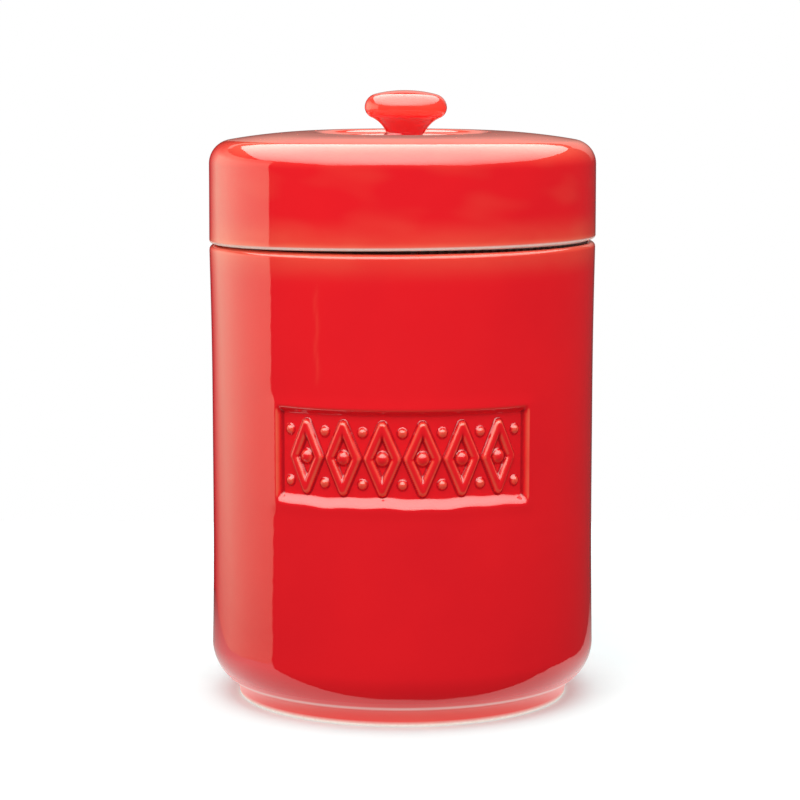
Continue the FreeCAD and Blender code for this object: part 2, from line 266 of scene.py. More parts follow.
def panel_height(angle, height):
    """The sunk panel with its relief, and the slight lip that the glaze leaves around it."""
    across = (np.mod(angle + math.pi, 2 * math.pi) - math.pi) * WALL_RADIUS
    up = height - PANEL_MIDDLE
    waved = up + sum(size * np.sin(turn * across + start) for size, turn, start in PANEL_WAVES)
    sunk = smooth(0, PANEL_SIDE_RAMP, PANEL_HALF_WIDTH - np.abs(across))
    sunk = sunk * smooth(0, PANEL_UPPER_RAMP, PANEL_HALF_HEIGHT - up)
    sunk = sunk * smooth(0, PANEL_LOWER_RAMP, PANEL_HALF_HEIGHT + waved)
    beyond_side = np.maximum(np.abs(across) - PANEL_HALF_WIDTH, 0)
    beyond_end = np.maximum(np.abs(up) - PANEL_HALF_HEIGHT, 0)
    lip = PANEL_LIP * np.exp(-(np.hypot(beyond_side, beyond_end) / PANEL_LIP_REACH) ** 2) * (1 - sunk)
    return lip - sunk * PANEL_DEPTH + relief(across, up) * sunk


def softened(grid):
    """Each height of an even grid drawn towards those of its neighbours."""
    for axis in (0, 1):
        grid = (np.roll(grid, 1, axis) + 2 * grid + np.roll(grid, -1, axis)) / 4
    return grid


def steps(grid, axis):
    """Second differences along one axis of an even grid."""
    return np.roll(grid, 1, axis) - 2 * grid + np.roll(grid, -1, axis)


# Jar: the same outline as the frame's, with more rows where the panel is
RECESS_HEIGHT = 2.8
RECESS_RADIUS = 43.8
FOOT_INNER_RADIUS = 44.4
FOOT_INNER_ROUND = 0.8
FOOT_RADIUS = 49.6
FOOT_ROUND = 0.4
FOOT_HEIGHT = 4.9
FOOT_COVE = 7
BELLY_FOOT_RADIUS = 51.54
BELLY_ROUND = 13
BELLY_HEIGHT = 16
BELLY_RADIUS = 57.8
RIM_ROUND = 1.5
RIM_RADIUS = 57.83
MOUTH_RADIUS = 52.33
FLOOR_HEIGHT = 8.4
FLOOR_ROUND = 10
WALL_WAIST = 0.5
WALL_ROWS = 24

# Where the jar's marks and unevenness change: a start and an end in mm of height, or of radius at the mouth
FOOT_BARE = (1.15, 0.85)
FOOT_DULL = (11, 7)
FOOT_THIN = (9, 4)
FOOT_THINNESS = 0.35
INSIDE_FOOT = 40
RIM_THIN = (JAR_TOP - 9, JAR_TOP - 0.5)
RIM_THINNESS = 0.4
RIM_EDGE_THIN = (JAR_TOP - 1.5, JAR_TOP - 0.3)
RIM_EDGE_THINNESS = 0.5
RIM_INSIDE = 53
MOUTH_LINED = (MOUTH_RADIUS + 1.6, MOUTH_RADIUS + 0.6)
FLOOR_LINED = (5, 7)
WALL_UNEVEN = (BELLY_HEIGHT - 6, BELLY_HEIGHT + 8)
WALL_TILTED = (98, JAR_TOP)

# Glaze over the panel's edges, by how sharply they bend, pooled glaze in its corners deepened as painted shade,
# and a faint run of it above the panel
EDGE_BEND = 0.9
RIDGE_BEND = EDGE_BEND * 2.4
CORNER_BEND = EDGE_BEND * 3
RIDGE_THINNESS = 0.8
RUN_ANGLE = -0.435
RUN_HALF_WIDTH = 0.009
RUN_SWAY = 0.006
RUN_SWAY_TURN = 0.5
RUN_FOOT = (98, 102)
RUN_HEAD = (129, 124)
RUN_THINNESS = 0.16


def wall_radius(height):
    """The wall narrows a little between the belly and the rim."""
    share = (height - BELLY_HEIGHT) / (JAR_TOP - RIM_ROUND - BELLY_HEIGHT)
    return BELLY_RADIUS + (RIM_RADIUS - BELLY_RADIUS) * share - WALL_WAIST * 4 * share * (1 - share)


def jar_outline():
    outline = Outline(AXIS, RECESS_HEIGHT).line(RECESS_RADIUS, RECESS_HEIGHT, 6)
    outline.line(FOOT_INNER_RADIUS, FOOT_INNER_ROUND, 2)
    outline.arc(FOOT_INNER_RADIUS + FOOT_INNER_ROUND, 0, FOOT_INNER_ROUND, LEFT, 4)
    outline.line(FOOT_RADIUS - FOOT_ROUND, 0, 2).arc(FOOT_RADIUS, FOOT_ROUND, FOOT_ROUND, LEFT, 5)
    outline.arc(BELLY_FOOT_RADIUS, FOOT_HEIGHT, FOOT_COVE, RIGHT, 8)
    outline.arc(BELLY_RADIUS, BELLY_HEIGHT, BELLY_ROUND, LEFT, 22)
    heights = np.concatenate([
        np.linspace(BELLY_HEIGHT, PANEL_ROWS[0], WALL_ROWS)[1:],
        np.linspace(*PANEL_ROWS, PANEL_ROW_COUNT)[1:],
        np.linspace(PANEL_ROWS[1], JAR_TOP - RIM_ROUND, WALL_ROWS)[1:],
    ])
    outline.points += [(wall_radius(height), height) for height in heights]
    outline.arc(RIM_RADIUS - RIM_ROUND, JAR_TOP, RIM_ROUND, LEFT, 8)
    outline.line(MOUTH_RADIUS + RIM_ROUND, JAR_TOP, 5)
    outline.arc(MOUTH_RADIUS, JAR_TOP - RIM_ROUND, RIM_ROUND, LEFT, 6)
    outline.line(MOUTH_RADIUS, FLOOR_HEIGHT + FLOOR_ROUND, WALL_ROWS)
    outline.arc(MOUTH_RADIUS - FLOOR_ROUND, FLOOR_HEIGHT, FLOOR_ROUND, RIGHT, 10)
    return outline.line(AXIS, FLOOR_HEIGHT, 8)


def thin_edges_and_shaded_corners(panel, in_rows):
    """Above 0 where the glaze thins over a ridge and below 0 where it pools in a corner, deepened as painted
    shade.
    """
    row_gap = (PANEL_ROWS[1] - PANEL_ROWS[0]) / (PANEL_ROW_COUNT - 1)
    column_gap = FRONT_HALF_ANGLE * 2 / FINE_COLUMNS * WALL_RADIUS
    bend = -(steps(panel, 0) / row_gap ** 2 + steps(panel, 1) / column_gap ** 2) * in_rows
    return smooth(EDGE_BEND, RIDGE_BEND, bend) * RIDGE_THINNESS - smooth(EDGE_BEND, CORNER_BEND, -bend)


def glaze_run(angle, height):
    beside = (angle - RUN_ANGLE - RUN_SWAY * np.sin(RUN_SWAY_TURN * height)) / RUN_HALF_WIDTH
    return np.exp(-beside ** 2) * smooth(*RUN_FOOT, height) * smooth(*RUN_HEAD, height) * RUN_THINNESS


def jar_shape(angle, radius, height):
    on_wall = radius > OUTSIDE
    in_rows = on_wall & (height > PANEL_ROWS[0]) & (height < PANEL_ROWS[1])
    panel = softened(panel_height(angle, height)) * in_rows
    thin = thin_edges_and_shaded_corners(panel, in_rows) + glaze_run(angle, height) * on_wall
    thin = thin + smooth(*FOOT_THIN, height) * FOOT_THINNESS * (radius > INSIDE_FOOT)
    rim = smooth(*RIM_THIN, height) * RIM_THINNESS + smooth(*RIM_EDGE_THIN, height) * RIM_EDGE_THINNESS
    marks = {
        "thin": np.clip(thin + rim * (radius > RIM_INSIDE), -1, 1),
        "bare": smooth(*FOOT_BARE, height),
        "liner": smooth(*MOUTH_LINED, radius) * smooth(*FLOOR_LINED, height),
        "dull": smooth(*FOOT_DULL, height) * (radius > INSIDE_FOOT),
    }
    uneven = wobble(angle, height, JAR_SEED) * smooth(*WALL_UNEVEN, height) * on_wall
    return radius + panel + uneven, height + seam_tilt(angle, radius) * smooth(*WALL_TILTED, height), marks


# Lid: dished crown, round shoulder, deep skirt and the flange under it
CREST_RADIUS = 27
CREST_HEIGHT = LID_BOTTOM + 31.9
SEAT_RADIUS = 21.5
SEAT_HEIGHT = LID_BOTTOM + 30.8
DISH_ROUND = 7.15
CROWN_SWEEP = 140
SHOULDER = 7.2
LID_WALL = 4.8
INNER_SHOULDER = 6.2
INNER_SHOULDER_IN = 5.2
INNER_SHOULDER_RISE = 1.6
INNER_SHOULDER_DROP = 4.5
LEDGE_COVE = 2.5
LEDGE_ROUND = 3
FLANGE_RADIUS = 50
FLANGE_WALL = 4.3
FLANGE_END = FLANGE_WALL / 2
FLANGE_COVE = 1.2
LID_EDGE_ROUND = 1

# Where the lid's marks and unevenness change, as heights over its lower edge or as radii
CROWN_UP = 27
TOP_UP = 20
SKIRT_TILTED = (22, 0)
LID_EDGE_BARE = (1.1, 0.4)
SKIRT_THIN = (10, 0)
SKIRT_EDGE_THIN = (2.4, 1)
SKIRT_THINNESS = 0.5
CROWN_THIN = (22, 29.5)
CROWN_THINNESS = 0.72
CLOUD_THINNESS = 0.13
INSIDE_UP = 0.5
FLANGE_LINED = 50.3
CROWN_UNEVEN = (20, 50)
CROWN_TILT = 0.4
CROWN_TILTED = (46, 30)
LEFT_DROOP = 0.5

# Patches of thinner glaze: size, then two crossing waves as waves around, turn per mm of height and start
CLOUDS = ((1, (4, 0.31, 0.6), (7, -0.17, 2)), (0.35, (17, 0.4, 0), (5, -0.6, 0)))


def lid_outline():
    sweep_middle = CREST_HEIGHT - CROWN_SWEEP
    shoulder_across = LID_RADIUS - SHOULDER - CREST_RADIUS
    shoulder_rise = math.sqrt((CROWN_SWEEP - SHOULDER) ** 2 - shoulder_across ** 2)
    shoulder_height = sweep_middle + shoulder_rise
    share = CROWN_SWEEP / (CROWN_SWEEP - SHOULDER)
    shoulder_top = (CREST_RADIUS + shoulder_across * share, sweep_middle + shoulder_rise * share)
    dish = ((CREST_RADIUS + SEAT_RADIUS) / 2, (CREST_HEIGHT + SEAT_HEIGHT) / 2)
    inner = LID_RADIUS - LID_WALL
    ledge = LID_BOTTOM + LID_WALL
    flange_inner = FLANGE_RADIUS - FLANGE_WALL

    outline = Outline(AXIS, SEAT_HEIGHT - LID_WALL).line(SEAT_RADIUS, SEAT_HEIGHT - LID_WALL, 4)
    outline.arc(dish[0], dish[1] - LID_WALL, DISH_ROUND, LEFT, 6)
    outline.arc(CREST_RADIUS, CREST_HEIGHT - LID_WALL, DISH_ROUND, RIGHT, 6)
    inner_top = (inner - INNER_SHOULDER_IN, shoulder_height + INNER_SHOULDER_RISE)
    outline.arc(*inner_top, CROWN_SWEEP - LID_WALL, RIGHT, 8)
    outline.arc(inner, shoulder_height - INNER_SHOULDER_DROP, INNER_SHOULDER, RIGHT, 8)
    outline.line(inner, ledge + LEDGE_COVE, 8).arc(inner - LEDGE_COVE, ledge, LEDGE_COVE, RIGHT, 5)
    outline.line(flange_inner + LEDGE_ROUND, ledge, 2)
    outline.arc(flange_inner, ledge - LEDGE_ROUND, LEDGE_ROUND, LEFT, 6)
    outline.line(flange_inner, LID_FLANGE_FOOT + FLANGE_END, 6)
    outline.arc(FLANGE_RADIUS - FLANGE_END, LID_FLANGE_FOOT, FLANGE_END, LEFT, 5)
    outline.arc(FLANGE_RADIUS, LID_FLANGE_FOOT + FLANGE_END, FLANGE_END, LEFT, 5)
    outline.line(FLANGE_RADIUS, LID_BOTTOM - FLANGE_COVE, 4)
    outline.arc(FLANGE_RADIUS + FLANGE_COVE, LID_BOTTOM, FLANGE_COVE, RIGHT, 5)
    outline.line(STRAINER_EDGE, LID_BOTTOM, 5).line(LID_RADIUS - LID_EDGE_ROUND, LID_BOTTOM, 4)
    outline.arc(LID_RADIUS, LID_BOTTOM + LID_EDGE_ROUND, LID_EDGE_ROUND, LEFT, 6)
    outline.line(LID_RADIUS, shoulder_height, 44).arc(*shoulder_top, SHOULDER, LEFT, 22)
    outline.arc(CREST_RADIUS, CREST_HEIGHT, CROWN_SWEEP, LEFT, 30)
    outline.arc(*dish, DISH_ROUND, LEFT, 8).arc(SEAT_RADIUS, SEAT_HEIGHT, DISH_ROUND, RIGHT, 8)
    return outline.line(AXIS, SEAT_HEIGHT, 5)


def clouds(angle, height):
    """Uneven patches of thinner glaze, where waves cross."""
    patches = sum(
        size * (ripple(angle, height, *first) * ripple(angle, height, *second))
        for size, first, second in CLOUDS
    )
    return np.clip(patches, 0, 1)


def lid_shape(angle, radius, height):
    up = height - LID_BOTTOM
    skirt = radius > STRAINER_EDGE
    outside = skirt | (up > CROWN_UP)
    inside = ~outside & (up > INSIDE_UP)
    top = (up > TOP_UP) & outside
    edge = smooth(*LID_EDGE_BARE, up) * (radius > FLANGE_RADIUS)
    thin = (smooth(*SKIRT_THIN, up) + smooth(*SKIRT_EDGE_THIN, up)) * SKIRT_THINNESS * skirt
    thin = thin + clouds(angle, height) * CLOUD_THINNESS * outside
    thin = thin + smooth(*CROWN_THIN, up) * CROWN_THINNESS * top
    lined = inside | (radius < FLANGE_LINED) & (up < 0)
    marks = {"thin": thin, "bare": edge * ~inside, "liner": lined * (1 - edge)}
    uneven = wobble(angle, height, LID_SEED) * outside * smooth(*CROWN_UNEVEN, radius)
    crown_tilt = CROWN_TILT * np.cos(angle) * radius / CREST_RADIUS * smooth(*CROWN_TILTED, radius) * top
    droop = LEFT_DROOP * np.clip(-np.sin(angle), 0, 1) ** 2 * outside_strainer(radius)
    skirt_tilt = (seam_tilt(angle, radius) - droop) * smooth(*SKIRT_TILTED, up) * skirt
    return radius + uneven, height + skirt_tilt - crown_tilt, marks


# Knob: low crown, round edge and a flared stem
KNOB_RADIUS = 12.3
KNOB_EDGE = KNOB_TOP - 5.31
STEM_FOOT_RADIUS = 5.9
STEM_RADIUS = 5.75
STEM_RISE = 0.9
STEM_FLARE = 8.6
KNOB_UNDER = (10.43, KNOB_EDGE - 2.9)
KNOB_UNDER_ROUND = 3.4
KNOB_UPPER = (9.1, KNOB_TOP - 1.26)
KNOB_UPPER_ROUND = 4.2
KNOB_CROWN = (AXIS, KNOB_TOP - 0.15)
KNOB_CROWN_SWEEP = 35
KNOB_LEAN = math.radians(0.5)
KNOB_SHIFT = 0.95
KNOB_THIN = (KNOB_TOP - 7.9, KNOB_TOP - 7.2)
KNOB_THINNESS = 0.5
# Painted shade on the stem under the knob's cap: the heights where it starts and where it is full, and how dark
# it is
STEM_PAINTED_SHADE = (KNOB_TOP - 7.2, KNOB_TOP - 8.5)
STEM_SHADE_SHARE = 0.75
KNOB_WAVES = ((0.004, 2, 0, 0.4), (0.003, 3, 0.2, 0))
KNOB_SHIFTED = (0, 1)
KNOB_LEANING = (0, 4)


def knob_outline():
    outline = Outline(AXIS, KNOB_FOOT).line(STEM_FOOT_RADIUS, KNOB_FOOT, 3)
    outline.line(STEM_RADIUS, KNOB_FOOT + STEM_RISE, 2).arc(*KNOB_UNDER, STEM_FLARE, RIGHT, 14)
    outline.arc(KNOB_RADIUS, KNOB_EDGE, KNOB_UNDER_ROUND, LEFT, 10)
    return outline.arc(*KNOB_UPPER, KNOB_UPPER_ROUND, LEFT, 12).arc(*KNOB_CROWN, KNOB_CROWN_SWEEP, LEFT, 10)


def knob_shape(angle, radius, height):
    """The knob was stuck on by hand, a little to the right and leaning the same way."""
    uneven = radius * (1 + sum(size * ripple(angle, height, *wave) for size, *wave in KNOB_WAVES))
    up = height - KNOB_FOOT
    across = uneven * np.sin(angle)
    depth = -uneven * np.cos(angle)
    moved = across + KNOB_SHIFT * smooth(*KNOB_SHIFTED, up) + up * math.sin(KNOB_LEAN)
    leaned = height - across * math.sin(KNOB_LEAN) * smooth(*KNOB_LEANING, up)
    # The cap's glaze runs thin and pale; the stem under the cap gets painted shade
    thin = smooth(*KNOB_THIN, height) * KNOB_THINNESS - smooth(*STEM_PAINTED_SHADE, height) * STEM_SHADE_SHARE
    marks = {"thin": thin, "bare": 0 * radius, "liner": 0 * radius}
    return np.hypot(moved, depth), leaned, marks, np.arctan2(moved, -depth)


# Node materials
def linear(red, green, blue):
    """A colour as it looks on a screen, 0 to 255, as the linear colour that a shader takes."""
    shares = [value / 255 for value in (red, green, blue)]
    lit = [share / 12.92 if share < 0.04045 else ((share + 0.055) / 1.055) ** 2.4 for share in shares]
    return (*lit, 1)


class Nodes:
    """A material's node tree with short ways to add to it."""

    def __init__(self, name):
        self.material = bpy.data.materials.new(name)
        self.material.use_nodes = True
        self.tree = self.material.node_tree
        self.shader = self.tree.nodes["Principled BSDF"]
        self.place = self.add("ShaderNodeTexCoord").outputs["Object"]

    def add(self, kind, **values):
        node = self.tree.nodes.new(kind)
        for key, value in values.items():
            setattr(node, key, value)
        return node

    def link(self, source, target):
        self.tree.links.new(source, target)

    def noise(self, scale, detail, roughness=0.5, place=None):
        node = self.add("ShaderNodeTexNoise")
        self.link(place or self.place, node.inputs["Vector"])
        node.inputs["Scale"].default_value = scale
        node.inputs["Detail"].default_value = detail
        node.inputs["Roughness"].default_value = roughness
        return node.outputs["Fac"]

    def stretched(self, scale):
        node = self.add("ShaderNodeMapping")
        self.link(self.place, node.inputs["Vector"])
        node.inputs["Scale"].default_value = scale
        return node.outputs["Vector"]

    def ranged(self, source, low, high, to_low=0.0, to_high=1.0):
        node = self.add("ShaderNodeMapRange")
        self.link(source, node.inputs["Value"])
        for key, value in (("From Min", low), ("From Max", high), ("To Min", to_low), ("To Max", to_high)):
            node.inputs[key].default_value = value
        return node.outputs["Result"]

    def mark(self, name):
        return self.add("ShaderNodeAttribute", attribute_name=name).outputs["Fac"]

    def mix(self, factor, first, second, kind="RGBA"):
        node = self.add("ShaderNodeMix", data_type=kind)
        self.link(factor, node.inputs["Factor"])
        for socket, value in ((node.inputs["A"], first), (node.inputs["B"], second)):
            if isinstance(value, (tuple, float)):
                socket.default_value = value
            else:
                self.link(value, socket)
        return node.outputs["Result"]

    def times(self, first, second):
        node = self.add("ShaderNodeMath", operation="MULTIPLY")
        self.link(first, node.inputs[0])
        self.link(second, node.inputs[1])
        return node.outputs["Value"]

    def from_axis(self):
        """Distance from the object's Z axis."""
        across = self.add("ShaderNodeVectorMath", operation="MULTIPLY")
        self.link(self.place, across.inputs[0])
        across.inputs[1].default_value = (1, 1, 0)
        length = self.add("ShaderNodeVectorMath", operation="LENGTH")
        self.link(across.outputs["Vector"], length.inputs[0])
        return length.outputs["Value"]

    def bump(self, source, strength, distance):
        node = self.add("ShaderNodeBump")
        node.inputs["Strength"].default_value = strength
        node.inputs["Distance"].default_value = distance
        self.link(source, node.inputs["Height"])
        return node.outputs["Normal"]


RED = linear(233, 28, 36)
DEEP_RED = linear(206, 20, 34)
# Pooled glaze in corners, deepened as painted shade; also the painted shade on the knob's stem
POOLED_AND_SHADED_RED = linear(170, 14, 27)
THIN_RED = linear(240, 104, 78)
CLAY = linear(252, 240, 230)
DARKER_CLAY = linear(244, 228, 216)
LINER = linear(243, 240, 233)
STEEL = linear(150, 150, 149)
PALER_STEEL = linear(160, 160, 158)
# Painted shade for the strainer flange's outer hem in the dark seam gap, and the radii in metres over which the
# steel darkens to it
HEM_PAINTED_SHADE = linear(60, 52, 50)
PAINTED_SHADE_RADII = ((STRAINER_EDGE - 0.5) * MM, (STRAINER_EDGE - 0.2) * MM)

# Where most of a noise's values lie, and what the glaze and the steel make of them. Scales are per metre.
NOISE = (0.3, 0.7)
CLOUD_SCALE = 28
CLOUD_NOISE = (0.35, 0.7)
DEEP_SHARE = 0.28
POOLED_AND_SHADED_SHARE = 0.9
THIN_SHARE = 0.85
PATCH_SCALE = 45
PATCH_ROUGHNESS = 0.55
PATCH_STRETCH = (1, 1, 2.2)
PATCH_NOISE = (0.3, 0.62)
PATCH_SHARES = (0.72, 1.12)
SPECK_SCALE = 900
GLOSS_SCALE = 160
GLOSS_ROUGHNESS = (0.035, 0.06)
GLAZE_IOR = 1.5
GLAZE_RIPPLE_SCALE = 240
GLAZE_RIPPLE = (0.06, 0.0004)
DULL_ROUGHNESS = 0.32
CLAY_ROUGHNESS = 0.75
STEEL_LINE_SCALE = (300, 300, 5000)
STEEL_LINE_NOISE = (0.2, 0.8)
STEEL_LINE_DEPTH = (0.03, 0.0001)
STEEL_ROUGHNESS = (0.4, 0.46)
STEEL_METALLIC = 0.85


def glaze_material():
    """Red glaze that runs thin and pale over edges and pools deep in corners, deepened there as painted shade,
    with painted shade on the knob's stem, over white stoneware.
    """
    nodes = Nodes("red_glaze")
    thin = nodes.mark("thin")
    bare = nodes.mark("bare")
    cloud = nodes.ranged(nodes.noise(CLOUD_SCALE, 3), *CLOUD_NOISE)
    tint = nodes.mix(nodes.ranged(cloud, 0, 1, 0, DEEP_SHARE), RED, DEEP_RED)
    # Below 0, thin darkens the red: pooled glaze deepened as painted shade in the panel's corners, and painted
    # shade on the knob's stem
    pooled_and_shaded = nodes.mix(nodes.ranged(thin, 0, -1, 0, POOLED_AND_SHADED_SHARE), tint, POOLED_AND_SHADED_RED)
    patch_noise = nodes.noise(PATCH_SCALE, 3, PATCH_ROUGHNESS, nodes.stretched(PATCH_STRETCH))
    patches = nodes.ranged(patch_noise, *PATCH_NOISE, *PATCH_SHARES)
    edged = nodes.mix(nodes.times(nodes.ranged(thin, 0, 1, 0, THIN_SHARE), patches), pooled_and_shaded, THIN_RED)
    lined = nodes.mix(nodes.mark("liner"), edged, LINER)
    clay = nodes.mix(nodes.ranged(nodes.noise(SPECK_SCALE, 2), *NOISE), CLAY, DARKER_CLAY)
    nodes.link(nodes.mix(bare, lined, clay), nodes.shader.inputs["Base Color"])
    glossy = nodes.ranged(nodes.noise(GLOSS_SCALE, 2), *NOISE, *GLOSS_ROUGHNESS)
    dull = nodes.mix(nodes.mark("dull"), glossy, DULL_ROUGHNESS, "FLOAT")
    nodes.link(nodes.mix(bare, dull, CLAY_ROUGHNESS, "FLOAT"), nodes.shader.inputs["Roughness"])
    nodes.shader.inputs["IOR"].default_value = GLAZE_IOR
    ripples = nodes.bump(nodes.noise(GLAZE_RIPPLE_SCALE, 1), *GLAZE_RIPPLE)
    nodes.link(ripples, nodes.shader.inputs["Normal"])
    return nodes.material


def steel_material():
    """Pressed stainless sheet with the fine lines that the press and the polish leave, darkened near black at
    the flange's outer edge as painted shade of the seam.
    """
    nodes = Nodes("pressed_steel")
    lines = nodes.noise(1, 3, place=nodes.stretched(STEEL_LINE_SCALE))
    tone = nodes.mix(nodes.ranged(lines, *NOISE), STEEL, PALER_STEEL)
    # Painted shade: the steel's colour turns near black at the flange's outer edge, where it lies in the
    # shadowed seam
    painted_shade_hem = nodes.mix(nodes.ranged(nodes.from_axis(), *PAINTED_SHADE_RADII), tone, HEM_PAINTED_SHADE)
    nodes.link(painted_shade_hem, nodes.shader.inputs["Base Color"])
    nodes.shader.inputs["Metallic"].default_value = STEEL_METALLIC
    nodes.link(nodes.ranged(lines, *STEEL_LINE_NOISE, *STEEL_ROUGHNESS), nodes.shader.inputs["Roughness"])
    nodes.link(nodes.bump(lines, *STEEL_LINE_DEPTH), nodes.shader.inputs["Normal"])
    return nodes.material


glaze = glaze_material()
steel = steel_material()

even_angles = np.linspace(0, 2 * math.pi, EVEN_COLUMNS + 1)[:-1]
jar = turned_piece("glazed_jar", jar_outline(), front_fine_angles(), jar_shape, PANEL_ROWS)
lid = turned_piece("glazed_lid", lid_outline(), even_angles, lid_shape)
knob = turned_piece("glazed_knob", knob_outline(), even_angles[::2], knob_shape)

for piece, node, body in ((jar, "jar", "jar_body"), (lid, "lid", "lid_body"), (knob, "lid_knob", "lid_body")):
    piece.data.materials.append(glaze)
    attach(piece, body)
    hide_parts(node)

knob.visible_glossy = False

for node in ("strainer_rim", "strainer_screen"):
    for material_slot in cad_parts[node].material_slots:
        material_slot.material = steel


# Stage: a small white board to stand on, and a dim studio that only reflections see
STAGE_RAYS = ("camera", "diffuse", "glossy", "transmission", "volume_scatter", "shadow")
WHITE = (1, 1, 1, 1)


class Glow:
    """An emission material whose strength or colour can follow a value."""

    def __init__(self, name, colour, strength):
        self.material = bpy.data.materials.new(name)
        self.material.use_nodes = True
        self.material.cycles.emission_sampling = "NONE"
        self.tree = self.material.node_tree
        self.tree.nodes.clear()
        self.shader = self.tree.nodes.new("ShaderNodeEmission")
        self.shader.inputs["Color"].default_value = colour
        self.shader.inputs["Strength"].default_value = strength
        output = self.tree.nodes.new("ShaderNodeOutputMaterial")
        self.tree.links.new(self.shader.outputs["Emission"], output.inputs["Surface"])

    def ranged(self, source, low, high):
        node = self.tree.nodes.new("ShaderNodeMapRange")
        self.tree.links.new(source, node.inputs["Value"])
        node.inputs["From Min"].default_value = low
        node.inputs["From Max"].default_value = high
        return node.outputs["Result"]


def stage_mesh(name, points, faces, material, hidden_from):
    """A mesh of the stage that the named kinds of ray don't meet."""
    mesh = bpy.data.meshes.new(name)
    mesh.from_pydata(points, [], faces)
    mesh.materials.append(material)
    stage = bpy.data.objects.new(name, mesh)
    bpy.context.scene.collection.objects.link(stage)
    for ray in STAGE_RAYS:
        setattr(stage, "visible_" + ray, ray not in hidden_from)
    return stage


BOARD_FRONT = -0.32
BOARD_BACK = 0.3
BOARD_HALF_WIDTH = 0.3
BOARD_WHITE = linear(228, 247, 248)
BOARD_PALER_WHITE = linear(231, 249, 250)
BOARD_ROUGHNESS = 0.9
BOARD_GRAIN_SCALE = 40


def white_board():
    nodes = Nodes("white_board")
    grain = nodes.mix(nodes.ranged(nodes.noise(BOARD_GRAIN_SCALE, 2), *NOISE), BOARD_WHITE, BOARD_PALER_WHITE)
    nodes.link(grain, nodes.shader.inputs["Base Color"])
    nodes.shader.inputs["Roughness"].default_value = BOARD_ROUGHNESS
    nodes.shader.inputs["Specular IOR Level"].default_value = 0
    points = [
        (-BOARD_HALF_WIDTH, BOARD_FRONT, 0), (BOARD_HALF_WIDTH, BOARD_FRONT, 0),
        (BOARD_HALF_WIDTH, BOARD_BACK, 0), (-BOARD_HALF_WIDTH, BOARD_BACK, 0),
    ]
    stage_mesh("white_board", points, [(0, 1, 2, 3)], nodes.material, ("glossy", "diffuse"))


# What lies under the board for the jar's diffuse light: name, radius, depth and strength
LOW_SHADES = (("low_shade", 0.3, 0.002, 0.24), ("foot_shade", 0.064, 0.001, 0.85))
SHADE_SIDES = 48


def low_shades():
    """The light that the board gives back to the jar: little under its belly, more beside its foot."""
    turns = [2 * math.pi * side / SHADE_SIDES for side in range(SHADE_SIDES)]
    for name, radius, depth, strength in LOW_SHADES:
        ring = [(radius * math.cos(turn), radius * math.sin(turn), -depth) for turn in turns]
        hidden_from = ("camera", "glossy", "transmission", "volume_scatter", "shadow")
        stage_mesh(name, ring, [tuple(range(SHADE_SIDES))], Glow(name, WHITE, strength).material, hidden_from)


# The studio that the glaze reflects, in metres. Turns go from the front, clockwise from above.
REFLECTIONS_ONLY = ("camera", "diffuse", "shadow", "volume_scatter")
DARK = 0.055
STUDIO_SIDES = 24
STUDIO_REACH = 3.0
STUDIO_TOP = 3.0
STUDIO_FLOOR = -0.6
OVERHEAD_WARM = (1.0, 0.94, 0.88, 1)
OVERHEAD_HEIGHT = 1.0
OVERHEAD_MIDDLE = (-0.15, -0.5, OVERHEAD_HEIGHT)
OVERHEAD_REACH = 2.1
OVERHEAD_FALL = (8.6, 8.4, 7.8, 6.6, 5.2, 4.0, 2.8)
OVERHEAD_SHAPE = ((-1.1, 0.8), (-2.05, 0.2), (-2.05, -2.3), (1.9, -2.3), (1.9, -0.1), (0.9, 1.35), (-0.7, 1.35))
SCREEN_REACH = 1.6
SCREEN_TURNS = ((83.1, 115, 125, 134, 142, 150, 160, 172), (1.0, 1.0, 0.95, 0.8, 0.64, 0.42, 0.2, 0.03))
SCREEN_RISE = ((-0.58, -0.36, -0.15, 0.07, 0.5, 0.58, 0.78), (0.1, 1.1, 1.75, 2.15, 2.15, 1.5, 1.3))
SCREEN_COLUMNS = 28
SCREEN_ROWS = 18
SCREEN_DIM = 0.3
SCREEN_BRIGHT = 1.4
SCREEN_DIM_COLOUR = (1, 0.1, 0.12, 1)
SCREEN_BRIGHT_COLOUR = (1, 0.97, 0.74, 1)
BACK_REACH = 2.8
BACK_TURNS = (150, 165, 180, 195, 210)
BACK_RISE = (0.25, 1.4)
BACK_WARM = (1, 0.88, 0.78, 1)
BACK_STRENGTHS = (0.12, 0.36, 0.56, 0.72, 0.8)
BOARD_CARD_HEIGHT = 0.0005
BOARD_CARD_SHAPE = (
    (-0.122, -0.052), (-0.048, -0.0563), (0, -0.059), (0.020, -0.0555), (0.037, -0.0503),
    (0.062, -0.041), (0.084, -0.0296), (0.105, 0.0), (0.105, 0.15), (-0.122, 0.15),
)
BOARD_CARD_DEPTHS = (-0.06, 0.15)
BOARD_CARD_STRENGTHS = (1.55, 1.45, 0.8, 0.4, 0.2, DARK)
BOARD_CARD_WARM = (1, 0.96, 0.93, 1)


def around(turn, reach):
    """A place at a turn from the front, so that -X is at 90."""
    turn = math.radians(turn)
    return -reach * math.sin(turn), -reach * math.cos(turn)


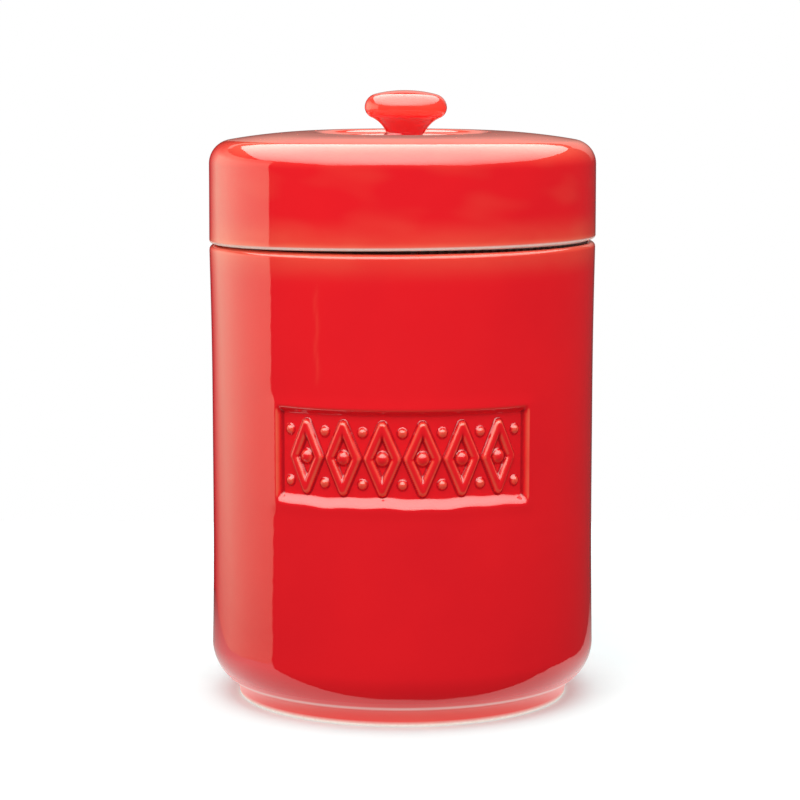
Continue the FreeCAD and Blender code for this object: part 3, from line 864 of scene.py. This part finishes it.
def card(name, points, faces, colour, strengths, measure, against, low, high):
    """A glowing face that only reflections see.

    Its strength goes through strengths in even steps while the measure of a place against a vector goes
    from low to high.
    """
    glow = Glow(name, colour, 1.0)
    nodes = glow.tree.nodes
    links = glow.tree.links
    vector = nodes.new("ShaderNodeVectorMath")
    vector.operation = measure
    links.new(nodes.new("ShaderNodeTexCoord").outputs["Object"], vector.inputs[0])
    vector.inputs[1].default_value = against
    ramp = nodes.new("ShaderNodeValToRGB")
    links.new(glow.ranged(vector.outputs["Value"], low, high), ramp.inputs["Fac"])
    elements = ramp.color_ramp.elements
    while len(elements) < len(strengths):
        elements.new(0.5)
    most = max(strengths)
    for place, (element, strength) in enumerate(zip(elements, strengths)):
        element.position = place / (len(strengths) - 1)
        element.color = (strength / most,) * 3 + (1,)
    scale = nodes.new("ShaderNodeMath")
    scale.operation = "MULTIPLY"
    links.new(ramp.outputs["Color"], scale.inputs[0])
    scale.inputs[1].default_value = most
    links.new(scale.outputs["Value"], glow.shader.inputs["Strength"])
    stage_mesh(name, points, faces, glow.material, REFLECTIONS_ONLY)


def dim_studio():
    ring = [around(360 * side / STUDIO_SIDES, STUDIO_REACH) for side in range(STUDIO_SIDES)]
    points = [(x, y, z) for z in (STUDIO_FLOOR, STUDIO_TOP) for x, y in ring]
    faces = [tuple(range(STUDIO_SIDES))]
    for side in range(STUDIO_SIDES):
        after = (side + 1) % STUDIO_SIDES
        faces.append((side, after, STUDIO_SIDES + after, STUDIO_SIDES + side))
    stage_mesh("dim_studio", points, faces, Glow("studio_dark", WHITE, DARK).material, REFLECTIONS_ONLY)


def left_screen():
    """A tall screen on the left that fades and reddens towards the back and the floor."""
    turns = np.linspace(SCREEN_TURNS[0][0], SCREEN_TURNS[0][-1], SCREEN_COLUMNS)
    rises = np.linspace(SCREEN_RISE[0][0], SCREEN_RISE[0][-1], SCREEN_ROWS)
    points = [(*around(turn, SCREEN_REACH), rise) for rise in rises for turn in turns]
    faces = []
    for row in range(SCREEN_ROWS - 1):
        for first in range(row * SCREEN_COLUMNS, (row + 1) * SCREEN_COLUMNS - 1):
            faces.append((first, first + 1, first + SCREEN_COLUMNS + 1, first + SCREEN_COLUMNS))
    glow = Glow("left_screen", SCREEN_BRIGHT_COLOUR, 1.0)
    nodes = glow.tree.nodes
    links = glow.tree.links
    shine = nodes.new("ShaderNodeAttribute")
    shine.attribute_name = "glow"
    links.new(shine.outputs["Fac"], glow.shader.inputs["Strength"])
    tint = nodes.new("ShaderNodeMix")
    tint.data_type = "RGBA"
    links.new(glow.ranged(shine.outputs["Fac"], SCREEN_DIM, SCREEN_BRIGHT), tint.inputs["Factor"])
    tint.inputs["A"].default_value = SCREEN_DIM_COLOUR
    tint.inputs["B"].default_value = SCREEN_BRIGHT_COLOUR
    links.new(tint.outputs["Result"], glow.shader.inputs["Color"])
    screen = stage_mesh("left_screen", points, faces, glow.material, REFLECTIONS_ONLY)
    strengths = np.outer(np.interp(rises, *SCREEN_RISE), np.interp(turns, *SCREEN_TURNS))
    add_attribute(screen.data, "glow", strengths.reshape(-1))


def studio_cards():
    """What the glaze reflects: a big soft ceiling, a tall left screen, a grey back wall and the board."""
    dim_studio()
    points = [(x, y, OVERHEAD_HEIGHT) for x, y in OVERHEAD_SHAPE]
    card(
        "overhead_card", points, [tuple(range(len(points)))], OVERHEAD_WARM, OVERHEAD_FALL,
        "DISTANCE", OVERHEAD_MIDDLE, 0, OVERHEAD_REACH,
    )
    left_screen()
    count = len(BACK_TURNS)
    points = [(*around(turn, BACK_REACH), z) for z in BACK_RISE for turn in BACK_TURNS]
    faces = [(k, k + 1, count + k + 1, count + k) for k in range(count - 1)]
    card("back_card", points, faces, BACK_WARM, BACK_STRENGTHS, "DOT_PRODUCT", (0, 0, 1), *BACK_RISE)
    points = [(x, y, BOARD_CARD_HEIGHT) for x, y in BOARD_CARD_SHAPE]
    card(
        "board_card", points, [tuple(range(len(points)))], BOARD_CARD_WARM, BOARD_CARD_STRENGTHS,
        "DOT_PRODUCT", (0, 1, 0), *BOARD_CARD_DEPTHS,
    )


# Soft lamps: name, centre, target, width, length and radiance
LAMP_WHITE = (1.0, 0.985, 0.95)
SOFTBOXES = (
    ("ceiling_box", (0, 0.1, 1.0), (0, 0.1, 0), 1.8, 2.2, 0.5),
    ("front_box", (-0.2, -0.8, 0.95), (0, 0, 0.13), 1.1, 0.7, 2.0),
)


def studio_lamps():
    """Soft lamps that light the piece without showing in the glaze."""
    for name, centre, target, width, length, radiance in SOFTBOXES:
        lamp = bpy.data.lights.new(name, "AREA")
        lamp.shape = "RECTANGLE"
        lamp.size = width
        lamp.size_y = length
        lamp.color = LAMP_WHITE
        lamp.energy = radiance * math.pi * width * length
        lamp_object = bpy.data.objects.new(name, lamp)
        bpy.context.scene.collection.objects.link(lamp_object)
        lamp_object.location = centre
        direction = Vector(target) - Vector(centre)
        lamp_object.rotation_euler = direction.to_track_quat("-Z", "Y").to_euler()
        lamp_object.visible_camera = False
        lamp_object.visible_glossy = False


# The ambient light's strength from low and high directions, and the height of direction at which each holds
LOWER_AMBIENT = 0.8
UPPER_AMBIENT = 1.0
LOWER_DIRECTION = -0.35
UPPER_DIRECTION = 0.25


def world_light():
    """A soft ambient light, weaker from below, and a white background wherever the background is seen."""
    world = bpy.data.worlds.new("studio_world")
    bpy.context.scene.world = world
    world.use_nodes = True
    nodes = world.node_tree.nodes
    links = world.node_tree.links
    nodes.clear()
    rays = nodes.new("ShaderNodeLightPath")
    seen = rays.outputs["Is Camera Ray"]
    for ray in ("Is Glossy Ray", "Is Transmission Ray"):
        either = nodes.new("ShaderNodeMath")
        either.operation = "MAXIMUM"
        links.new(seen, either.inputs[0])
        links.new(rays.outputs[ray], either.inputs[1])
        seen = either.outputs[0]
    split = nodes.new("ShaderNodeSeparateXYZ")
    links.new(nodes.new("ShaderNodeTexCoord").outputs["Generated"], split.inputs["Vector"])
    ambient = nodes.new("ShaderNodeMapRange")
    links.new(split.outputs["Z"], ambient.inputs["Value"])
    ambient.inputs["From Min"].default_value = LOWER_DIRECTION
    ambient.inputs["From Max"].default_value = UPPER_DIRECTION
    ambient.inputs["To Min"].default_value = LOWER_AMBIENT
    ambient.inputs["To Max"].default_value = UPPER_AMBIENT
    light = nodes.new("ShaderNodeBackground")
    light.inputs["Color"].default_value = WHITE
    links.new(ambient.outputs["Result"], light.inputs["Strength"])
    background = nodes.new("ShaderNodeBackground")
    background.inputs["Color"].default_value = WHITE
    background.inputs["Strength"].default_value = 1.0
    mix = nodes.new("ShaderNodeMixShader")
    links.new(seen, mix.inputs["Fac"])
    links.new(light.outputs["Background"], mix.inputs[1])
    links.new(background.outputs["Background"], mix.inputs[2])
    output = nodes.new("ShaderNodeOutputWorld")
    links.new(mix.outputs["Shader"], output.inputs["Surface"])


CAMERA_PLACE = (-0.00069, -0.792, 0.1867)
CAMERA_PITCH = 7.05
FOCAL_PIXELS = 2638
PHOTO_PIXELS = 800
SENSOR_WIDTH = 36


def photo_camera():
    camera = bpy.data.cameras.new("photo_camera")
    camera.sensor_width = SENSOR_WIDTH
    camera.lens = FOCAL_PIXELS / PHOTO_PIXELS * SENSOR_WIDTH
    camera_object = bpy.data.objects.new("photo_camera", camera)
    bpy.context.scene.collection.objects.link(camera_object)
    camera_object.location = CAMERA_PLACE
    camera_object.rotation_euler = (math.radians(90 - CAMERA_PITCH), 0, 0)
    bpy.context.scene.camera = camera_object


white_board()
low_shades()
studio_cards()
studio_lamps()
world_light()
photo_camera()
bpy.context.scene.view_settings.view_transform = "Standard"
